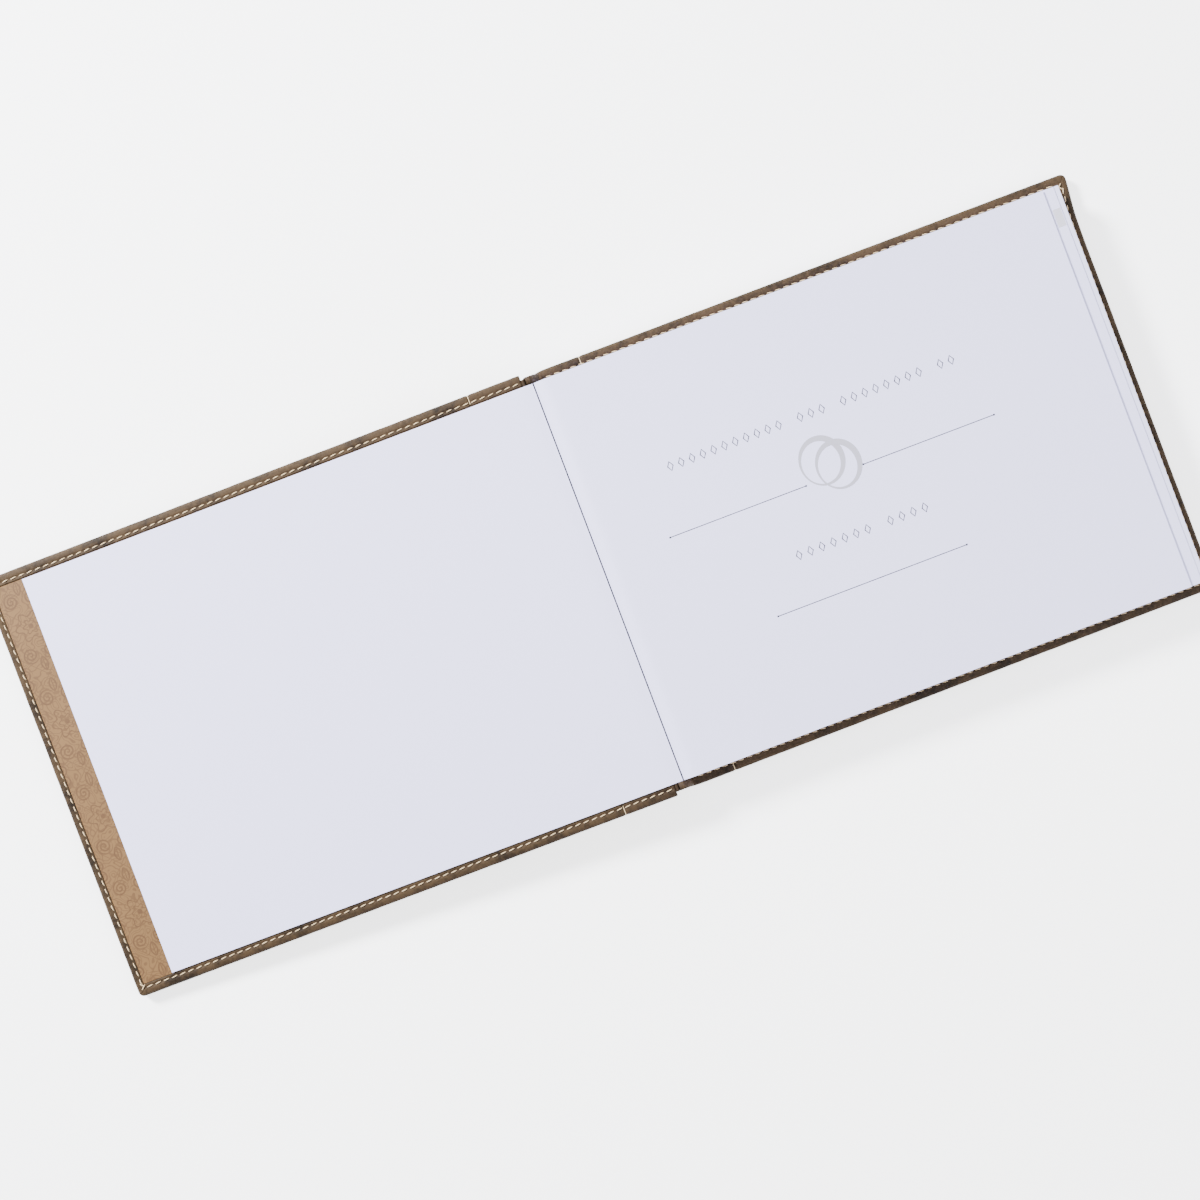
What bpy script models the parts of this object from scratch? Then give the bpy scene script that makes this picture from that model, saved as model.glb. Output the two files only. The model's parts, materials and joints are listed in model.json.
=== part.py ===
"""Padded leather guest book, lying open at its title leaf.

Metres, +Z up. The back cover lies flat, the spine stands up along the block's left side
and the front cover leans down to the left on its own far edge.
"""

from math import asin, atan2, cos, hypot, pi, sin

import bmesh
import bpy
from mathutils import Matrix

# ---- driving dimensions ----------------------------------------------------------------
COVER_W = 0.2320  # one cover, from the joint to its outer edge
COVER_H = 0.1800  # head to tail
COVER_T = 0.0051  # leather, padding, board and turn-in together
LEATHER_T = 0.0007
EDGE_R = 0.0016  # soft outer edges of a cover
CORNER_R = 0.0026  # cover corners, seen from above
PADDING_Z = (0.0010, 0.0020)
BOARD_Z = (0.0023, 0.0041)
BOARD_INSET = 0.0013
PASTEDOWN_Z = (0.0044, 0.0047)
TURN_IN = 0.0050  # leather folded over onto the inner face, at head and tail
OUTER_TURN_IN = 0.0037  # and along the outer edge
SEAM_U = 0.0220  # seam between the spine band and the cover leather
SEAM_GAP = 0.0009
THREAD_W = 0.0006
THREAD_T = 0.0003
STITCH_INSET = 0.0034  # edge stitching, in from head and tail
OUTER_STITCH_INSET = 0.0028  # and in from the outer edge
STITCH_LIFT = 0.00005

LEAF_H = 0.1694
LEAF_T = 0.00015
LEAF_START = 0.0028  # bound part of a leaf, next to its fold
FLYLEAF_W = 0.2201
TITLE_W = 0.2179
GUEST_W = 0.2227
BACK_LEAF_W = 0.2220

HINGE_Z = 0.0173  # height of the fold line and of the cover's hinge
TITLE_OFFSET = 0.00015  # underside of the title leaf above the fold line
FLYLEAF_OFFSET = 0.00060
COVER_OFFSET = 0.00105
BACK_COVER_X = -0.0006  # these x values count from the gutter
COVER_HINGE_X = -0.0025
BACK_LEAF_Z = 0.0054

SECTIONS = 8
BLOCK_X0 = 0.0003
BLOCK_X1 = 0.2249
BLOCK_Z = (0.00585, 0.0167)
SECTION_GAP = 0.0003
GLUE_TOP_Z = 0.0156  # cloth, paper and threads end below the leaves that bend into the gutter

SPINE_H = 0.1762
SPINE_LEATHER_X = (-0.0032, -0.0026)
SPINE_LEATHER_Z = (0.0033, 0.0149)
SPINE_BOARD_X = (-0.0024, -0.0014)
SPINE_BOARD_Z = (0.0012, 0.0156)
SPINE_FLAP_X = (-0.0012, -0.0007)
SPINE_FLAP_Y = 0.0078
LINER_X = (-0.0012, -0.00095)
LINER_H = 0.1590
MULL_X = (-0.00075, -0.0005)
MULL_H = 0.1500
STATIONS = 4
STATION_STEP = 0.0400
SEWING_R = 0.00015
SEWING_X = -0.00015

JOINT_T = 0.0005
JOINT_TOP_Z = 0.0161
JOINT_START_Z = 0.0152

# ---- derived ---------------------------------------------------------------------------
HINGE_GAP = BACK_COVER_X - COVER_HINGE_X


def lean_angle():
    """Angle by which the open front cover leans past flat, until its far edge is down."""
    reach = HINGE_GAP + COVER_W - EDGE_R
    drop = COVER_OFFSET + COVER_T - EDGE_R
    return asin((HINGE_Z - EDGE_R) / hypot(reach, drop)) - atan2(drop, reach)


LEAN = lean_angle()


def gutter_x():
    """x of the gutter in the part's frame, so that the open book is centred on x = 0."""
    tip = COVER_HINGE_X - (HINGE_GAP + COVER_W) * cos(LEAN) + (COVER_OFFSET + EDGE_R) * sin(LEAN)
    return -(tip + BACK_COVER_X + COVER_W) / 2


X_G = gutter_x()

LEATHER = ("leather", (0.155, 0.115, 0.080, 1), 0.55)
BAND = ("band_leather", (0.140, 0.102, 0.070, 1), 0.50)
FOAM = ("foam", (0.800, 0.780, 0.700, 1), 0.95)
GREYBOARD = ("greyboard", (0.330, 0.320, 0.300, 1), 0.90)
ENDPAPER = ("endpaper", (0.440, 0.300, 0.195, 1), 0.60)
PAGE = ("page_paper", (0.800, 0.805, 0.840, 1), 0.80)
THREAD = ("stitch_thread", (0.820, 0.680, 0.480, 1), 0.70)
LINEN = ("linen_thread", (0.780, 0.740, 0.640, 1), 0.80)
CLOTH = ("mull_cloth", (0.760, 0.740, 0.680, 1), 0.95)
KRAFT = ("kraft_paper", (0.420, 0.270, 0.150, 1), 0.90)


def start_clean():
    for obj in list(bpy.data.objects):
        bpy.data.objects.remove(obj, do_unlink=True)


def new_object(name, mesh_builder):
    mesh = bpy.data.meshes.new(name)
    mesh_builder.to_mesh(mesh)
    mesh_builder.free()
    obj = bpy.data.objects.new(name, mesh)
    bpy.context.scene.collection.objects.link(obj)
    return obj


def dress(obj, look):
    """Give the object its own Principled material."""
    label, colour, roughness = look
    material = bpy.data.materials.new(f"{obj.name}.{label}")
    material.use_nodes = True
    shader = material.node_tree.nodes["Principled BSDF"]
    shader.inputs["Base Color"].default_value = colour
    shader.inputs["Roughness"].default_value = roughness
    obj.data.materials.clear()
    obj.data.materials.append(material)
    return obj


def loft(name, rings):
    """Closed body through rings of equal length, each listed anticlockwise from above."""
    bm = bmesh.new()
    loops = [[bm.verts.new(p) for p in ring] for ring in rings]
    for low, high in zip(loops, loops[1:]):
        for i in range(len(low)):
            j = (i + 1) % len(low)
            bm.faces.new((low[i], low[j], high[j], high[i]))
    bm.faces.new(list(reversed(loops[0])))
    bm.faces.new(loops[-1])
    bmesh.ops.recalc_face_normals(bm, faces=bm.faces)
    return new_object(name, bm)


def box(name, xs, ys, zs):
    (x0, x1), (y0, y1) = sorted(xs), sorted(ys)
    corners = ((x0, y0), (x1, y0), (x1, y1), (x0, y1))
    return loft(name, [[(x, y, z) for x, y in corners] for z in zs])


def rounded_rectangle(xs, ys, radius, steps=4):
    """Anticlockwise outline of a rectangle with rounded corners."""
    (x0, x1), (y0, y1) = xs, ys
    centres = (
        (x1 - radius, y0 + radius, -pi / 2),
        (x1 - radius, y1 - radius, 0.0),
        (x0 + radius, y1 - radius, pi / 2),
        (x0 + radius, y0 + radius, pi),
    )
    points = []
    for cx, cy, start in centres:
        for i in range(steps + 1):
            a = start + pi / 2 * i / steps
            points.append((cx + radius * cos(a), cy + radius * sin(a)))
    return points


def soft_slab(name, xs, ys, zs, edge, corner, steps=3):
    """Slab whose edges and corners are rounded."""
    (x0, x1), (z0, z1) = sorted(xs), zs
    levels = []
    for i in range(steps + 1):
        a = pi / 2 * i / steps
        levels.append((edge * (1 - sin(a)), z0 + edge * (1 - cos(a))))
    levels += [(inset, z1 - (z - z0)) for inset, z in reversed(levels)]
    rings = []
    for inset, z in levels:
        outline = rounded_rectangle(
            (x0 + inset, x1 - inset), (ys[0] + inset, ys[1] - inset), corner - inset
        )
        rings.append([(x, y, z) for x, y in outline])
    return loft(name, rings)


def extrude_y(name, profile, ys):
    """Body whose (x, z) profile runs straight from one y to another."""
    bm = bmesh.new()
    ends = [[bm.verts.new((x, y, z)) for x, z in profile] for y in ys]
    near, far = ends
    for i in range(len(near)):
        j = (i + 1) % len(near)
        bm.faces.new((near[i], near[j], far[j], far[i]))
    bm.faces.new(list(reversed(near)))
    bm.faces.new(far)
    bmesh.ops.recalc_face_normals(bm, faces=bm.faces)
    return new_object(name, bm)


def combine(obj, tool, operation):
    """Apply one exact boolean, then drop the tool."""
    modifier = obj.modifiers.new("cut", "BOOLEAN")
    modifier.operation = operation
    modifier.solver = "EXACT"
    modifier.object = tool
    graph = bpy.context.evaluated_depsgraph_get()
    mesh = bpy.data.meshes.new_from_object(obj.evaluated_get(graph))
    obj.modifiers.clear()
    obj.data = mesh
    bpy.data.objects.remove(tool, do_unlink=True)
    return obj


def move(obj, x=0.0, z=0.0):
    obj.data.transform(Matrix.Translation((x, 0, z)))
    return obj


# ---- covers: built flat, outer face down at z = 0, joint end at x = 0 -------------------


def span(side, u0, u1):
    """x range of a piece that lies from u0 to u1, counted from the joint."""
    return tuple(sorted((side * u0, side * u1)))


def leather_shell(name, side, u0, u1, sink=0.0):
    """Outer face, three soft edges and turn-ins, kept between u0 and u1 only."""
    half = COVER_H / 2
    past = -0.012
    body = soft_slab(
        name,
        span(side, past, COVER_W - sink),
        (-half + sink, half - sink),
        (sink, COVER_T - sink),
        EDGE_R,
        CORNER_R,
    )
    hollow = soft_slab(
        "hollow",
        span(side, past - 0.005, COVER_W - LEATHER_T),
        (-half + LEATHER_T, half - LEATHER_T),
        (LEATHER_T, COVER_T - LEATHER_T),
        EDGE_R - LEATHER_T,
        CORNER_R - LEATHER_T,
    )
    combine(body, hollow, "DIFFERENCE")
    window = box(
        "window",
        span(side, past - 0.005, COVER_W - OUTER_TURN_IN),
        (-half + TURN_IN, half - TURN_IN),
        (COVER_T / 2, COVER_T + 0.001),
    )
    combine(body, window, "DIFFERENCE")
    keep = box("keep", span(side, u0, u1), (-half - 0.001, half + 0.001), (-0.001, COVER_T + 0.001))
    return combine(body, keep, "INTERSECT")


def cover_leather(name, side):
    return leather_shell(name, side, SEAM_U + SEAM_GAP / 2, COVER_W + 0.001)


def cover_band(name, side):
    return leather_shell(name, side, 0.0, SEAM_U - SEAM_GAP / 2)


def band_stitching(name, side):
    return leather_shell(name, side, SEAM_U - THREAD_W / 2, SEAM_U + THREAD_W / 2, sink=0.0001)


def cover_layer(name, side, zs):
    """Padding or board: fills the leather, with a small gap all round."""
    half = COVER_H / 2 - BOARD_INSET
    return box(name, span(side, 0.0003, COVER_W - BOARD_INSET), (-half, half), zs)


def pastedown(name, side):
    half = COVER_H / 2 - TURN_IN - 0.0003
    return box(name, span(side, 0.0006, COVER_W - OUTER_TURN_IN - 0.0003), (-half, half), PASTEDOWN_Z)


def edge_stitching(name, side):
    """One thread along head, outer edge and tail, lying on the turn-ins."""
    zs = (COVER_T + STITCH_LIFT, COVER_T + STITCH_LIFT + THREAD_T)
    half = COVER_H / 2 - STITCH_INSET
    far = COVER_W - OUTER_STITCH_INSET
    near = THREAD_W / 2
    body = box(name, span(side, 0.0015, far + near), (-half - near, half + near), zs)
    inside = box(
        "inside",
        span(side, -0.001, far - near),
        (-half + near, half - near),
        (zs[0] - 0.001, zs[1] + 0.001),
    )
    return combine(body, inside, "DIFFERENCE")


def cover_set(prefix, side):
    """The seven pieces of one cover."""
    return [
        dress(cover_leather(f"{prefix}_cover_leather", side), LEATHER),
        dress(cover_band(f"{prefix}_cover_band", side), BAND),
        dress(band_stitching(f"{prefix}_band_stitching", side), THREAD),
        dress(edge_stitching(f"{prefix}_edge_stitching", side), THREAD),
        dress(cover_layer(f"{prefix}_cover_padding", side, PADDING_Z), FOAM),
        dress(cover_layer(f"{prefix}_cover_board", side, BOARD_Z), GREYBOARD),
        dress(pastedown(f"{prefix}_pastedown", side), ENDPAPER),
    ]


def pivot(name, x, lean):
    """Empty on a hinge line, turned by the lean, that carries one body's pieces."""
    empty = bpy.data.objects.new(name, None)
    empty.empty_display_size = 0.01
    empty.hide_render = True
    empty.location = (X_G + x, 0, HINGE_Z)
    empty.rotation_euler = (0, -lean, 0)
    bpy.context.scene.collection.objects.link(empty)
    return empty


def build_front_cover():
    carrier = pivot("front_cover_pivot", COVER_HINGE_X, LEAN)
    for obj in cover_set("front", -1):
        move(obj, -HINGE_GAP, -COVER_OFFSET - COVER_T)
        obj.parent = carrier


def build_back_cover():
    for obj in cover_set("back", 1):
        move(obj, X_G + BACK_COVER_X)


# ---- leaves ----------------------------------------------------------------------------


def leaf(name, width, offset, side, carrier):
    """Turning leaf, built about its own fold line."""
    low = offset if side > 0 else -offset - LEAF_T
    half = LEAF_H / 2
    obj = box(name, span(side, LEAF_START, width), (-half, half), (low, low + LEAF_T))
    obj.parent = carrier
    return dress(obj, PAGE)


def build_leaves():
    leaf("front_flyleaf", FLYLEAF_W, FLYLEAF_OFFSET, -1, pivot("flyleaf_pivot", 0.0, LEAN))
    leaf("title_leaf", TITLE_W, TITLE_OFFSET, 1, pivot("title_leaf_pivot", 0.0, 0.0))
    low = -TITLE_OFFSET - LEAF_T
    leaf("guest_leaf", GUEST_W, low, 1, pivot("guest_leaf_pivot", 0.0, 0.0))


def back_flyleaf():
    half = LEAF_H / 2
    zs = (BACK_LEAF_Z, BACK_LEAF_Z + LEAF_T)
    obj = box("back_flyleaf", (X_G + BLOCK_X0, X_G + BACK_LEAF_W), (-half, half), zs)
    return dress(obj, PAGE)


# ---- block -----------------------------------------------------------------------------


def section(index):
    """One folded section: a soft fold at the spine, square at the fore-edge."""
    pitch = (BLOCK_Z[1] - BLOCK_Z[0] + SECTION_GAP) / SECTIONS
    thick = pitch - SECTION_GAP
    low = BLOCK_Z[0] + pitch * index
    radius = thick / 2
    profile = [(X_G + BLOCK_X1, low), (X_G + BLOCK_X1, low + thick)]
    for i in range(7):
        a = pi / 2 + pi * i / 6
        profile.append((X_G + BLOCK_X0 + radius + radius * cos(a), low + radius + radius * sin(a)))
    obj = extrude_y(f"section_{index + 1}", profile, (-LEAF_H / 2, LEAF_H / 2))
    return dress(obj, PAGE)


def sewing_thread(index):
    """Links between the folds at one sewing station."""
    y = (index - (STATIONS - 1) / 2) * STATION_STEP
    ring = [(SEWING_R * cos(2 * pi * i / 10), SEWING_R * sin(2 * pi * i / 10)) for i in range(10)]
    zs = (BLOCK_Z[0] + 0.0005, GLUE_TOP_Z)
    rings = [[(X_G + SEWING_X + x, y + dy, z) for x, dy in ring] for z in zs]
    return dress(loft(f"sewing_thread_{index + 1}", rings), LINEN)


def spine_strip(name, xs, height, look):
    """Strip of cloth or paper glued down the back of the block."""
    zs = (BLOCK_Z[0] + 0.0002, GLUE_TOP_Z)
    ends = (-height / 2, height / 2)
    return dress(box(name, [X_G + x for x in xs], ends, zs), look)


def build_block():
    for index in range(SECTIONS):
        section(index)
    for index in range(STATIONS):
        sewing_thread(index)
    spine_strip("mull", MULL_X, MULL_H, CLOTH)
    spine_strip("spine_liner", LINER_X, LINER_H, KRAFT)
    back_flyleaf()


# ---- spine -----------------------------------------------------------------------------


def spine_leather():
    """Leather on the spine board, turned in round its head and tail."""
    half = SPINE_H / 2
    wall = SPINE_LEATHER_X[1] - SPINE_LEATHER_X[0]
    xs = [X_G + SPINE_LEATHER_X[0], X_G + SPINE_FLAP_X[1]]
    body = box("spine_leather", xs, (-half, half), SPINE_LEATHER_Z)
    zs = (SPINE_LEATHER_Z[0] - 0.001, SPINE_LEATHER_Z[1] + 0.001)
    room_xs = (X_G + SPINE_LEATHER_X[1], X_G + SPINE_FLAP_X[0])
    room = box("room", room_xs, (-half + wall, half - wall), zs)
    combine(body, room, "DIFFERENCE")
    reach = half - SPINE_FLAP_Y
    mouth_xs = (X_G + SPINE_LEATHER_X[1], X_G + SPINE_FLAP_X[1] + 0.001)
    mouth = box("mouth", mouth_xs, (-reach, reach), zs)
    combine(body, mouth, "DIFFERENCE")
    return dress(body, BAND)


def spine_board():
    half = SPINE_H / 2 - 0.0009
    xs = [X_G + x for x in SPINE_BOARD_X]
    return dress(box("spine_board", xs, (-half, half), SPINE_BOARD_Z), GREYBOARD)


def arc(cx, cz, radius, start, end, steps=5):
    points = []
    for i in range(steps + 1):
        a = start + (end - start) * i / steps
        points.append((cx + radius * cos(a), cz + radius * sin(a)))
    return points


def back_joint_strip():
    """Leather bent from the foot of the spine under to the back cover."""
    x0, x1 = (X_G + x for x in SPINE_LEATHER_X)
    wall = x1 - x0
    bend = 0.0012
    end = X_G + BACK_COVER_X - 0.0003
    top = SPINE_LEATHER_Z[0] - 0.0003
    outer = arc(x0 + bend, bend, bend, pi, 1.5 * pi)
    inner = arc(x0 + bend, bend, bend - wall, 1.5 * pi, pi)
    profile = [(x0, top), *outer, (end, 0.0), (end, wall), *inner, (x1, top)]
    return dress(extrude_y("back_joint_strip", profile, (-SPINE_H / 2, SPINE_H / 2)), BAND)


def front_joint_strip():
    """Joint leather folded over the spine's top edge and down to the open cover's face."""
    x_right = X_G + SPINE_LEATHER_X[1] - 0.0001
    radius = 0.0006
    centre_x = x_right - radius
    centre_z = JOINT_TOP_Z - radius
    inner = radius - JOINT_T
    foot_z = HINGE_Z - COVER_OFFSET - COVER_T - 0.0001
    left = centre_x - radius
    profile = [
        (x_right, JOINT_START_Z),
        *arc(centre_x, centre_z, radius, 0.0, pi),
        (left, foot_z),
        (left + JOINT_T, foot_z),
        *arc(centre_x, centre_z, inner, pi, 0.0),
        (x_right - JOINT_T, JOINT_START_Z),
    ]
    return dress(extrude_y("front_joint_strip", profile, (-SPINE_H / 2, SPINE_H / 2)), BAND)


def build_spine():
    spine_leather()
    spine_board()
    back_joint_strip()
    front_joint_strip()


def main():
    start_clean()
    build_back_cover()
    build_front_cover()
    build_leaves()
    build_block()
    build_spine()
    bpy.context.view_layer.update()


main()
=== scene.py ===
"""Looks for the padded leather guest book: skins, stitches, bent leaves, print, light."""

import json
import random
from math import ceil, cos, exp, hypot, pi, radians, sin, sqrt

import bmesh
import bpy
from mathutils import Matrix, Vector, noise


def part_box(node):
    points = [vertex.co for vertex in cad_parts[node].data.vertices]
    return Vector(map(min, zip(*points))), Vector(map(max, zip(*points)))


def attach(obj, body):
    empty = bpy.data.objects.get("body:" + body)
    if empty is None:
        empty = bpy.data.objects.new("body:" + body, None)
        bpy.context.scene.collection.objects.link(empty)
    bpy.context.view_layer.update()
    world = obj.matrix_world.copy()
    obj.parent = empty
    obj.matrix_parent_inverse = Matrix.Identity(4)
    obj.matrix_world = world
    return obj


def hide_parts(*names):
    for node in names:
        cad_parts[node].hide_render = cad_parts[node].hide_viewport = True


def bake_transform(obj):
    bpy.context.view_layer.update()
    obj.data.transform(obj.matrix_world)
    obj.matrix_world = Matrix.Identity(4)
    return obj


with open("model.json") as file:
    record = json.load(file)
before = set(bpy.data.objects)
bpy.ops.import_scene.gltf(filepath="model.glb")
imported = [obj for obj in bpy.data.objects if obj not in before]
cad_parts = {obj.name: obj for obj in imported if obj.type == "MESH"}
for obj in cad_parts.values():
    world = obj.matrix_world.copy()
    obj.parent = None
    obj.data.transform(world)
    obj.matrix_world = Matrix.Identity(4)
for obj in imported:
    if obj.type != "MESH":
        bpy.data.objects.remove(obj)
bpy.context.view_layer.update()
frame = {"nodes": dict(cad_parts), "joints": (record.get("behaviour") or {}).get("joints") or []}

MM = 0.001

# ---- places, all from the frame --------------------------------------------------------
JOINTS = {joint["name"]: joint for joint in frame["joints"]}
HINGE = Vector(JOINTS["front_cover_hinge"]["pos_m"])
FOLD = Vector(JOINTS["title_leaf_turn"]["pos_m"])
LEAN = radians(-JOINTS["front_cover_hinge"]["range_deg"][0] - 180)
BACK_LOW, BACK_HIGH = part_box("back_cover_leather")
BAND_LOW, BAND_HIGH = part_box("back_cover_band")
COVER_T = BACK_HIGH.z
COVER_HALF = BACK_HIGH.y
COVER_X0 = BAND_LOW.x
COVER_W = BACK_HIGH.x - COVER_X0
HINGE_GAP = COVER_X0 - HINGE.x
SEAM_BAND = BAND_HIGH.x - COVER_X0
SEAM_SKIN = BACK_LOW.x - COVER_X0
SEAM = (SEAM_BAND + SEAM_SKIN) / 2
TITLE_LOW, TITLE_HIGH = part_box("title_leaf")
GUEST_LOW, GUEST_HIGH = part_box("guest_leaf")
PAGE_HALF = TITLE_HIGH.y

# ---- fine sizes of the looks -----------------------------------------------------------
CAD_EDGE_R = 1.6 * MM  # the edge on which the open cover rests
EDGE_R = 2.1 * MM
CORNER_R = 2.5 * MM
TURN_IN = 5.0 * MM
OUTER_TURN_IN = 3.7 * MM
HEAD_INSET = {"front": 3.5 * MM, "back": 3.58 * MM}  # edge stitching, in from head and tail
OUTER_INSET = 2.9 * MM  # and in from the outer edge
SEAM_SLIT = 0.1 * MM
CORNER_STAND_OUT = 1.7 * MM  # the back cover's head corner
CORNER_REACH = 13 * MM
SKIN_SINK = 0.06 * MM  # the leather's surface below its nominal profile
SOFT_EDGE = 2.6  # power of the padded edge's outline: 2 is round, more is squarer
HEAD_STEPS = 230
OUTER_STEPS = 190
CORNER_STEPS = 12
STITCH_PITCH = 3.55 * MM
STITCH_LENGTH = 2.5 * MM
FIRST_STITCH = {"front": 1.2 * MM, "back": 6.7 * MM}  # out from the joint
THREAD_R = 0.18 * MM
SPINE_FLAP = 7.8 * MM  # leather turned in over the spine board's ends
JOINT_START_Z = 15.2 * MM  # where the joint leather leaves the spine
LEAF_T = 0.15 * MM
GUTTER_DIP = 1.15 * MM
FLYLEAF_DIP = 0.35 * MM
GUTTER_REACH = 3.4 * MM
SECTIONS = 8
LEAVES = 8  # in one section
STATIONS = 4  # of the sewing
SHARP_ANGLE = radians(40)

# ---- light -----------------------------------------------------------------------------
FLOOR_GLOW = 2.3
WORLD_COLOUR = (0.91, 0.94, 1.0, 1)
WORLD_STRENGTH = 0.8
BACKDROP_STRENGTH = 4.6  # the world as the camera sees it
KEY = ((-0.85, 1.05, 0.9), 0.35, 116, (0.96, 0.975, 1.0))
FILL = ((1.0, -0.4, 1.1), 1.2, 21, (1, 1, 1))


def linear(red, green, blue):
    """Linear colour from display values of 0 to 255."""
    out = []
    for value in (red, green, blue):
        c = value / 255
        out.append(c / 12.92 if c <= 0.04045 else ((c + 0.055) / 1.055) ** 2.4)
    return (*out, 1)


# ---- node material helpers -------------------------------------------------------------


class Field:
    """A number at each point of a surface, built up as shader nodes."""

    def __init__(self, tree, socket):
        self.tree = tree
        self.socket = socket

    def math(self, operation, *others):
        node = self.tree.nodes.new("ShaderNodeMath")
        node.operation = operation
        for slot, value in zip(node.inputs, (self, *others)):
            if isinstance(value, Field):
                self.tree.links.new(value.socket, slot)
            else:
                slot.default_value = value
        return Field(self.tree, node.outputs[0])

    def __add__(self, other):
        return self.math("ADD", other)

    def __sub__(self, other):
        return self.math("SUBTRACT", other)

    def __mul__(self, other):
        return self.math("MULTIPLY", other)

    def __truediv__(self, other):
        return self.math("DIVIDE", other)

    def abs(self):
        return self.math("ABSOLUTE")

    def fold(self, period):
        """Distance to the nearest multiple of the period."""
        return self.math("PINGPONG", period / 2)

    def below(self, limit, blur):
        """1 well below the limit, 0 above it, with a soft edge."""
        return ((self * -1 + limit) / blur + 0.5).math("MAXIMUM", 0.0).math("MINIMUM", 1.0)

    def over(self, other):
        return self.math("MAXIMUM", other)


class Look:
    """A Principled material under construction."""

    def __init__(self, name):
        self.material = bpy.data.materials.new(name)
        self.material.use_nodes = True
        self.tree = self.material.node_tree
        self.shader = self.tree.nodes["Principled BSDF"]
        self.place = self.tree.nodes.new("ShaderNodeTexCoord").outputs["Object"]

    def axes(self):
        split = self.tree.nodes.new("ShaderNodeSeparateXYZ")
        self.tree.links.new(self.place, split.inputs[0])
        return [Field(self.tree, output) for output in split.outputs]

    def stretch(self, scale, turn=(0, 0, 0)):
        node = self.tree.nodes.new("ShaderNodeMapping")
        node.inputs["Scale"].default_value = scale
        node.inputs["Rotation"].default_value = turn
        self.tree.links.new(self.place, node.inputs["Vector"])
        return node.outputs[0]

    def noise(self, per_metre, detail=3, rough=0.55, place=None):
        node = self.tree.nodes.new("ShaderNodeTexNoise")
        node.inputs["Scale"].default_value = per_metre
        node.inputs["Detail"].default_value = detail
        node.inputs["Roughness"].default_value = rough
        self.tree.links.new(place or self.place, node.inputs["Vector"])
        return Field(self.tree, node.outputs["Fac"])

    def cells(self, per_metre, feature="F1"):
        node = self.tree.nodes.new("ShaderNodeTexVoronoi")
        node.feature = feature
        node.inputs["Scale"].default_value = per_metre
        self.tree.links.new(self.place, node.inputs["Vector"])
        return Field(self.tree, node.outputs["Distance"])

    def waves(self, per_metre, distortion, direction):
        node = self.tree.nodes.new("ShaderNodeTexWave")
        node.bands_direction = direction
        node.inputs["Scale"].default_value = per_metre
        node.inputs["Distortion"].default_value = distortion
        self.tree.links.new(self.place, node.inputs["Vector"])
        return Field(self.tree, node.outputs["Fac"])

    def ramp(self, field, stops):
        node = self.tree.nodes.new("ShaderNodeValToRGB")
        ramp = node.color_ramp
        while len(ramp.elements) < len(stops):
            ramp.elements.new(0.5)
        for element, (position, colour) in zip(ramp.elements, stops):
            element.position = position
            element.color = colour
        self.tree.links.new(field.socket, node.inputs[0])
        return node.outputs[0]

    def mix(self, field, first, second):
        node = self.tree.nodes.new("ShaderNodeMix")
        node.data_type = "RGBA"
        self.tree.links.new(field.socket, node.inputs[0])
        for slot, value in ((node.inputs[6], first), (node.inputs[7], second)):
            if isinstance(value, tuple):
                slot.default_value = value
            else:
                self.tree.links.new(value, slot)
        return node.outputs[2]

    def set(self, name, value):
        if isinstance(value, Field):
            self.tree.links.new(value.socket, self.shader.inputs[name])
        elif isinstance(value, (int, float, tuple)):
            self.shader.inputs[name].default_value = value
        else:
            self.tree.links.new(value, self.shader.inputs[name])

    def bump(self, field, depth, strength=1.0):
        node = self.tree.nodes.new("ShaderNodeBump")
        node.inputs["Distance"].default_value = depth
        node.inputs["Strength"].default_value = strength
        self.tree.links.new(field.socket, node.inputs["Height"])
        self.tree.links.new(node.outputs[0], self.shader.inputs["Normal"])


# ---- materials -------------------------------------------------------------------------


def leather_look(name, dark, light):
    """Imitation leather: pebbled grain, fine creases and mottled brown dye."""
    look = Look(name)
    pebbles = look.cells(1150, "SMOOTH_F1")
    creases = look.cells(520, "DISTANCE_TO_EDGE").math("MINIMUM", 0.12) * 4.0
    fine = look.noise(5200, 2)
    broad = look.noise(70, 4)
    grain = pebbles * -0.7 + creases * 0.5 + fine * 0.35
    tone = broad * 0.9 + look.noise(520, 4, 0.65) * 0.6 - 0.25
    look.set("Base Color", look.ramp(tone, ((0.3, dark), (0.6, light), (0.95, dark))))
    look.set("Roughness", broad * 0.2 + fine * 0.12 + 0.5)
    look.set("Specular IOR Level", 0.16)
    look.bump(grain, 0.16 * MM, 0.75)
    return look.material


def thread_look(name, colour, shade, twist=2600):
    """Twisted sewing thread, with painted shade in the grooves between its plies."""
    look = Look(name)
    ply = look.waves(twist, 0.6, "DIAGONAL")
    fuzz = look.noise(6000, 2)
    # the darker bands along the twist are painted shade in the grooves between the plies; the twist
    # relief itself is real
    look.set("Base Color", look.mix(ply * 0.6 + fuzz * 0.4, shade, colour))
    look.set("Roughness", fuzz * 0.2 + 0.55)
    look.set("Sheen Weight", 0.25)
    look.bump(ply * 0.7 + fuzz * 0.3, 0.06 * MM)
    return look.material


def paper_look(name, colour, shade, depth=0.012):
    """Smooth writing paper: faint fibre cloud and tooth."""
    look = Look(name)
    cloud = look.noise(26, 4)
    tooth = look.noise(2600, 4, 0.65)
    fibres = look.noise(900, 3, 0.6, look.stretch((1.0, 3.2, 1.0), (0, 0, 0.6)))
    look.set("Base Color", look.mix(cloud * 0.8 + fibres * 0.2, shade, colour))
    look.set("Roughness", tooth * 0.12 + 0.66)
    look.set("Specular IOR Level", 0.3)
    look.bump(tooth * 0.7 + fibres * 0.3, depth * MM)
    return look.material


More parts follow.
